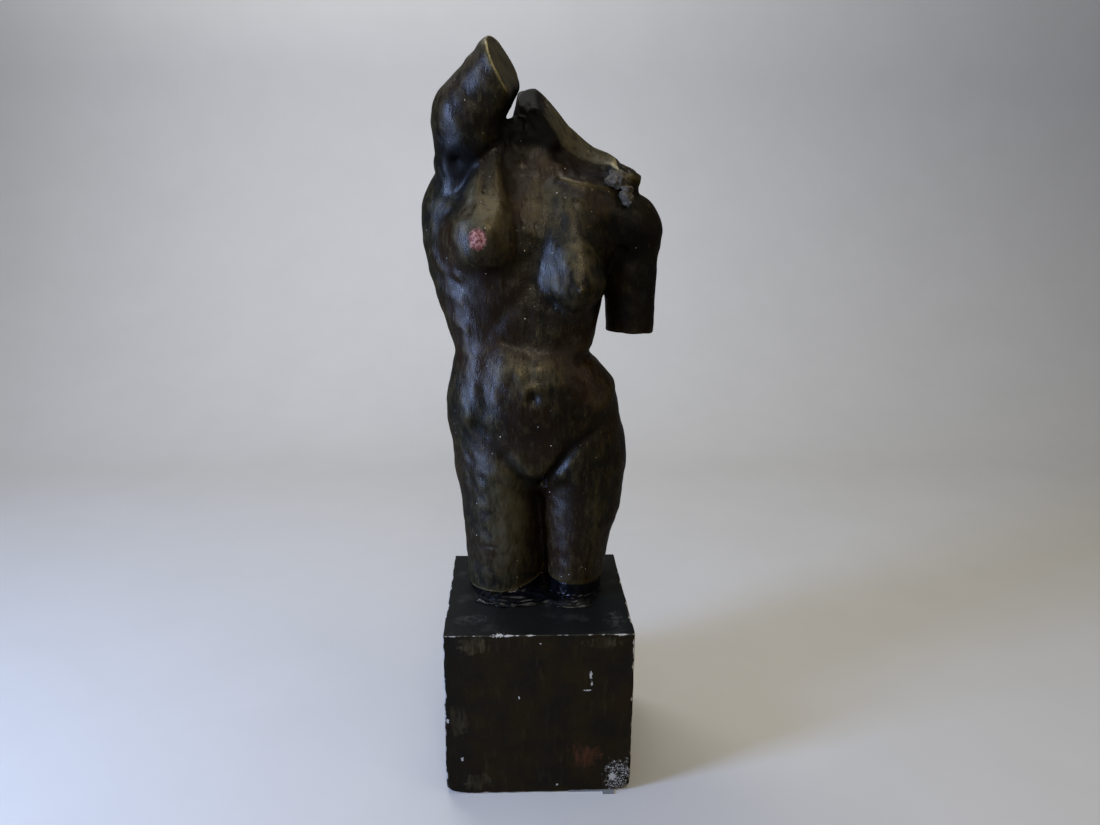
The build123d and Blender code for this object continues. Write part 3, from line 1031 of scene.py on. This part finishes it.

# %% [markdown]
# Bronze powder was rubbed over it, so the high places are golden and the hollows stay dark. The
# streaks of the brush break the gold up. Painted highlights add gold and a pale olive sheen on the
# belly, the thighs, the breasts and the chest, and painted shade takes the gold away. Where the arm
# was cut and the neck broken the paint is thin, and it is lighter along the rims.

# %% Powder, painted highlights and shade, rims and hollows
# the gold's share: brush streaks, high places and painted highlights, less where shade is painted
rub_and_painted_light = add(bronze, "Math", streak, 3.4, -1.7, operation="MULTIPLY_ADD")
rub_and_painted_light = add(bronze, "Math", highlight_and_rub, 1.1, rub_and_painted_light, operation="MULTIPLY_ADD")
rub_and_painted_light = add(bronze, "Math", rub_and_painted_light, high, operation="ADD")
rub_and_painted_light = add(bronze, "Math", rub_and_painted_light, shade_and_dark, operation="SUBTRACT")
# painted highlight: a pale olive sheen in streaks where highlights are painted, over rubbed powder
sheen_and_rub = add(bronze, "Math", highlight_and_rub, add(bronze, "MapRange", streak, 0.3, 0.6, 0, 0.8),
           operation="MULTIPLY")
cut_colour = coats(bronze, BRONZE_CUT, [(add(bronze, "MapRange", streak, 0.35, 0.7), BRONZE_CUT_LIGHT)])
rim = add(bronze, "Math", rim, cloud, operation="ADD")
layers += [
    (add(bronze, "MapRange", rub_and_painted_light, 0.1, 1.7, 0, 0.55), BRONZE_GOLD),
    (sheen_and_rub, BRONZE_SHEEN_AND_RUB),
    (add(bronze, "MapRange", high, -0.3, -1.6, 0, 0.8), BRONZE_DEEP),
    (add(bronze, "MapRange", bare, 0.3, 0.6, 0, 0.8), cut_colour),
    (add(bronze, "MapRange", rim, 0.95, 1.3, 0, 0.55), BRONZE_EDGE),
    # painted shade: near black where shade is painted, and dark paint at the torn throat
    (add(bronze, "Math", shade_and_dark, 0.92, operation="MULTIPLY"), BRONZE_DEEP)]

# %% [markdown]
# Last come flakes of gold, chips down to the white plaster in loose groups, the right nipple, which
# is chipped to a pink ground, and a warm patch below the neck.

# %% Flakes, chips and patches
# painted shade: no gold flakes and no metal where shade is painted
outside_shade_and_dark = add(bronze, "Math", 1.0, shade_and_dark, operation="SUBTRACT")
flake = add(bronze, "MapRange", grain(bronze, place, 2.2, stretch=4, detail=6), 0.57, 0.68, 0, 0.55)
for share in (add(bronze, "MapRange", cloud, 0.42, 0.6), outside_shade_and_dark):
    flake = add(bronze, "Math", flake, share, operation="MULTIPLY")
chips = add(bronze, "Math", specks(bronze, place, 8, 0.7, 0.2), specks(bronze, place, 4, 0.5, 0.12),
            operation="MAXIMUM")
groups = add(bronze, "MapRange", grain(bronze, place, 34), 0.51, 0.57)
chips = add(bronze, "Math", chips, groups, operation="MULTIPLY")
chips = add(bronze, "Math", chips, specks(bronze, place, 12, 0.75, 0.13), operation="MAXIMUM")
nipple = spot(bronze, place, (-55, -46, 530), (8.5, 12, 10), 0.35)
flesh = add(bronze, "MapRange", grain(bronze, place, 3, detail=4), 0.42, 0.58)
gold_patch = spot(bronze, place, (52, 4, 594), (12, 10, 7), 0.8)
layers += [
    (flake, BRONZE_GOLD),
    (add(bronze, "Math", chips, 0.9, operation="MULTIPLY"), CHIP_WHITE),
    (nipple, coats(bronze, CHIP_PINK, [(flesh, CHIP_PALE_PINK)])),
    (add(bronze, "Math", gold_patch, 0.5, operation="MULTIPLY"), BRONZE_GOLD_WARM)]

# %% [markdown]
# Wax makes the whole glossy, a little less so along the streaks. Chips, the places of painted shade
# and the dark paint at the throat are dull, and only the powdered high places shine like metal.

# %% Gloss of the bronze
dull = add(bronze, "Math", nipple, chips, operation="MAXIMUM")
matt = add(bronze, "Math", dull, shade_and_dark, operation="MAXIMUM")
matt = add(bronze, "Math", matt, 0.65, operation="MULTIPLY")
gloss = add(bronze, "MapRange", streak, 0.35, 0.7, 0.26, 0.52)
gloss = add(bronze, "Math", gloss, matt, operation="MAXIMUM")
metal = add(bronze, "MapRange", rub_and_painted_light, -0.6, 1.4, 0, 0.5)
for share in (add(bronze, "Math", 1.0, dull, operation="SUBTRACT"), outside_shade_and_dark):
    metal = add(bronze, "Math", metal, share, operation="MULTIPLY")
# painted shade: less specular where shade is painted
shine = add(bronze, "Math", shade_and_dark, -0.24, 0.38, operation="MULTIPLY_ADD")
finish(bronze, coats(bronze, BRONZE_DARK, layers), gloss,
       [(grain(bronze, place, 1.6), 0.2), (streak, 0.7), (cloud, 0.5)], Metallic=metal,
       Specular_IOR_Level=shine)
print("coats of the bronze", len(layers), "nodes", len(bronze.node_tree.nodes))

# %% [markdown]
# ## Plinth paint
# The plinth is painted near black on top, and dark brown on its sides, which a brush has scuffed.
# Inside, the plaster is bare.

# %% The paint's two colours
paint = new_material("plinth_paint")
place = add(paint, "TexCoord", out="Object")
cloud, fine = grain(paint, place, 30), grain(paint, place, 2.2, detail=4)
wear = grain(paint, place, 6, stretch=5, detail=5)
across = add(paint, "SeparateXYZ", place, out="X")
side = coats(paint, PLINTH_BROWN, [
    (add(paint, "MapRange", cloud, 0.35, 0.7), PLINTH_DARK),
    (add(paint, "MapRange", wear, 0.56, 0.72, 0, 0.45), PLINTH_SCUFF),
    (add(paint, "MapRange", across, -0.062, -0.09, 0, 0.7), PLINTH_DARK)])
smudge = add(paint, "MapRange", grain(paint, place, 34, detail=4), 0.55, 0.8, 0, 0.5)
facing = add(paint, "SeparateXYZ", add(paint, "TexCoord", out="Normal"), out="Z")
layers = [(add(paint, "MapRange", facing, 0.6, 0.9), coats(paint, PLINTH_TOP, [(smudge, PLINTH_SMUDGE)]))]

# %% Worn patches
WORN = [
    ((-61, -90, 161), (14, 6, 9), PLINTH_WORN, 0.35), ((62, -90, 163), (17, 6, 5), PLINTH_WORN, 0.35),
    ((43, -90, 41), (17, 6, 12), PLINTH_RED, 0.3), ((-58, -90, 14), (12, 6, 9), PLINTH_WORN, 0.25),
    ((-78, -90, 84), (10, 6, 16), PLINTH_WORN, 0.2), ((74, -60, 172), (10, 14, 6), PLINTH_SMUDGE, 0.6),
    ((-66, -58, 172), (14, 10, 6), PLINTH_SMUDGE, 0.5)]
for centre, radii, colour, share in WORN:
    streaks = add(paint, "MapRange", wear, 0.42, 0.6, 0, share)
    patch = spot(paint, place, centre, radii, 1.2)
    layers.append((add(paint, "Math", patch, streaks, operation="MULTIPLY"), colour))

# %% [markdown]
# The paint has gone along the edges, so white plaster shows in a broken line. A few places are
# scratched, and one lower corner is crazed and flaking. All these marks are one number, which also
# makes the place dull and a quarter of a millimetre deep.

# %% Scratches, flaking and worn edges
SCRATCHES = [
    ((49, -90, 129), (1.3, 4, 4)), ((50, -90, 120), (0.8, 4, 2)), ((46, -90, 113), (3, 4, 0.8)),
    ((-74, -90, 40), (1.2, 4, 2)), ((-19, -90, 106), (0.7, 4, 1.6)), ((1, -90, 163), (0.8, 4, 0.8)),
    ((-38, -90, 172), (5, 4, 1.6)), ((72, -90, 17), (3, 4, 4)), ((-87, -90, 82), (1, 3, 2)),
    ((89, -90, 138), (1, 3, 3)), ((89, -90, 103), (1.2, 3, 2)), ((18, -90, 9), (1.2, 4, 1))]
cracks = add(paint, "TexVoronoi", Vector=place, Scale=520, feature="DISTANCE_TO_EDGE")
flaking = add(paint, "Math", spot(paint, place, (78, -90, 16), (12, 8, 16), 1.5),
              add(paint, "MapRange", cracks, 0.1, 0.25), operation="MULTIPLY")
edge = add(paint, "Attribute", attribute_name="edge", out="Fac")
broken_line = add(paint, "Math", grain(paint, place, 16, detail=5), 0.9, edge, operation="MULTIPLY_ADD")
marks = specks(paint, place, 14, 1.0, 0.12)
for mark in (flaking, add(paint, "MapRange", broken_line, 1.42, 1.49),
             *(spot(paint, place, centre, radii, 1.6, 1.5) for centre, radii in SCRATCHES)):
    marks = add(paint, "Math", marks, mark, operation="MAXIMUM")
painted = add(paint, "Attribute", attribute_name="painted", out="Fac")
bare = add(paint, "Math", 1.0, painted, operation="SUBTRACT")
plaster = coats(paint, PLASTER_LIGHT, [(add(paint, "MapRange", cloud, 0.35, 0.7), PLASTER_GREY)])
layers += [(add(paint, "Math", marks, 0.85, operation="MULTIPLY"), CHIP_WHITE), (bare, plaster)]

# %% Gloss of the plinth
matt = add(paint, "Math", marks, bare, operation="MAXIMUM")
matt = add(paint, "Math", matt, 0.85, operation="MULTIPLY")
gloss = add(paint, "Math", cloud, 0.25, 0.34, operation="MULTIPLY_ADD")
gloss = add(paint, "Math", gloss, matt, operation="MAXIMUM")
finish(paint, coats(paint, side, layers), gloss, [(fine, 0.1), (wear, 0.25), (marks, -0.25)],
       Specular_IOR_Level=0.3)
print("coats of the plinth", len(layers), "nodes", len(paint.node_tree.nodes))

# %% [markdown]
# ## The smaller materials
# The bedding is thick glossy black paint over wet plaster, gone grey and speckled at one end. The
# putty is dry and crumbly.

# %% Glossy paint and putty
gloss_paint = new_material("glossy_paint")
place = add(gloss_paint, "TexCoord", out="Object")
cloud = grain(gloss_paint, place, 9)
grey_end = spot(gloss_paint, place, (40, -36, 176), (26, 12, 6), 0.9)
flecks = add(gloss_paint, "Math", specks(gloss_paint, place, 6, 1.2, 0.3), grey_end, operation="MULTIPLY")
tone = coats(gloss_paint, GLOSS_BLACK, [
    (add(gloss_paint, "MapRange", cloud, 0.4, 0.7), GLOSS_BLUE),
    (add(gloss_paint, "Math", grey_end, 0.45, operation="MULTIPLY"), GLOSS_GREY),
    (flecks, CHIP_WHITE)])
finish(gloss_paint, tone, add(gloss_paint, "Math", cloud, 0.45, operation="MULTIPLY"),
       [(grain(gloss_paint, place, 5), 0.2)], Specular_IOR_Level=0.35)

putty_grey = new_material("putty")
crumb = grain(putty_grey, add(putty_grey, "TexCoord", out="Object"), 3, detail=6)
tone = coats(putty_grey, PUTTY_DARK, [(add(putty_grey, "MapRange", crumb, 0.35, 0.7), PUTTY_GREY)])
finish(putty_grey, tone, 0.85, [(crumb, 0.8)])

# %% [markdown]
# The plugs are bare plaster. The rods, nuts and washers are zinc-plated steel with a faint spangle,
# and the strip under the corner is clear sheet gone cloudy.

# %% Plaster, steel and clear sheet
raw = new_material("raw_plaster")
crumb = grain(raw, add(raw, "TexCoord", out="Object"), 12, detail=5)
tone = coats(raw, PLASTER_LIGHT, [(add(raw, "MapRange", crumb, 0.35, 0.7), PLASTER_GREY)])
finish(raw, tone, 0.9, [(crumb, 0.3)])

zinc = new_material("zinc_steel")
spangle = add(zinc, "TexVoronoi", Vector=add(zinc, "TexCoord", out="Object"), Scale=400)
finish(zinc, coats(zinc, ZINC_LIGHT, [(spangle, ZINC_DARK)]),
       add(zinc, "Math", spangle, 0.3, 0.3, operation="MULTIPLY_ADD"), [], Metallic=1.0)

sheet = new_material("cloudy_clear_sheet")
haze = grain(sheet, add(sheet, "TexCoord", out="Object"), 4)
finish(sheet, coats(sheet, SHEET_CLEAR, [(haze, SHEET_CLOUDY)]),
       add(sheet, "Math", haze, 0.4, 0.15, operation="MULTIPLY_ADD"), [],
       Transmission_Weight=0.6, IOR=1.49)

# %% Put the materials on
for piece, material in ((torso, bronze), (bed, gloss_paint), (putty_piece, putty_grey), (block, paint)):
    piece.data.materials.clear()
    piece.data.materials.append(material)
for names, material, slot_name in (
        (("right_thigh_plug", "left_thigh_plug"), raw, "raw_plaster"),
        (("right_thigh_rod", "left_thigh_rod", "rod_washers", "rod_nuts"), zinc, "zinc_steel"),
        (("corner_shim",), sheet, "clear_sheet")):
    for name in names:
        node = bpy.data.objects[name]
        node.data.materials.clear()
        node.data.materials.append(material)
print("materials", sorted(m.name for m in bpy.data.materials if m.users))

# %% [markdown]
# ## Room
# The floor curves up behind the cast. It is pale to the camera and darker to everything else, so
# that the dark paint doesn't reflect it as a veil.

# %% Floor and backdrop
BEND_START, BEND_RADIUS = 0.9, 0.9
floor_paint = new_material("pale_floor")
mottle = grain(floor_paint, add(floor_paint, "TexCoord", out="Object"), 120)
pale = coats(floor_paint, FLOOR_PALE, [(mottle, FLOOR_SHADE)])
seen = add(floor_paint, "LightPath", out="Is Camera Ray")
finish(floor_paint, coats(floor_paint, FLOOR_DIM, [(seen, pale)]), 0.75, [])
profile = [(-3.0, 0.0)] + [(BEND_START + BEND_RADIUS * sin(t), BEND_RADIUS * (1 - cos(t)))
                           for t in np.linspace(0, pi / 2, 24)]
profile.append((BEND_START + BEND_RADIUS, 4.0))
floor_mesh = bpy.data.meshes.new("floor")
floor_mesh.from_pydata([(x, y, z) for y, z in profile for x in (-4.0, 4.0)], [],
                       [(2 * i, 2 * i + 1, 2 * i + 3, 2 * i + 2) for i in range(len(profile) - 1)])
floor_mesh.shade_smooth()
floor_mesh.materials.append(floor_paint)
floor = bpy.data.objects.new("floor", floor_mesh)
bpy.context.collection.objects.link(floor)
floor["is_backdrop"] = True
print("floor", len(floor_mesh.polygons), "faces")


# %% [markdown]
# The lamps are area lights, placed in metres. Each has a place, a point to aim at, a width and a
# height, a power in watts and a colour.

# %% Lamps and world
LAMPS = {
    "window": ((-1.30, -0.60, 0.68), (0, 0, 0.40), 0.30, 1.3, 28, "#a3bdf4"),
    "front": ((0.10, -1.9, 1.45), (0, 0, 0.42), 0.6, 0.7, 9, "#fff0d4"),
    "sill": ((-0.85, -0.42, 0.10), (-0.05, 0, 0.2), 0.30, 0.16, 2.2, "#a3bdf4"),
    "fill": ((1.6, -0.9, 1.1), (0, 0, 0.4), 0.9, 1.2, 2, "#fff2de"),
    "top": ((0.1, -0.3, 2.3), (0, 0, 0.4), 1.2, 1.2, 8, "#fffaf2"),
    "back": ((-0.5, 0.9, 2.2), (0, 1.6, 0.9), 1.6, 1.0, 20, "#ffffff"),
}
for name, (where, towards, width, height, power, colour) in LAMPS.items():
    lamp = bpy.data.lights.new(name, "AREA")
    lamp.shape, lamp.size, lamp.size_y = "RECTANGLE", width, height
    lamp.energy, lamp.color = power, linear(colour)[:3]
    light = bpy.data.objects.new(name, lamp)
    bpy.context.collection.objects.link(light)
    light.location = where
    light.rotation_euler = (Vector(towards) - Vector(where)).to_track_quat("-Z", "Y").to_euler()
world = bpy.data.worlds.new("room")
bpy.context.scene.world = world
world.use_nodes = True
background = world.node_tree.nodes["Background"]
background.inputs["Color"].default_value = linear("#e9e7e2")
background.inputs["Strength"].default_value = 0.07
print("lamps", list(LAMPS))

# %% [markdown]
# The finished look may stand a little proud of the CAD model, where the plaster is rough. Both boxes
# are measured, and the CAD one is printed.

# %% Sizes of the CAD model and of the finished look
({"cad": [list(corner) for corner in cad_box],
           "visual": [list(corner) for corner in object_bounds()]})
print("CAD box", [[round(v, 4) for v in c] for c in cad_box])
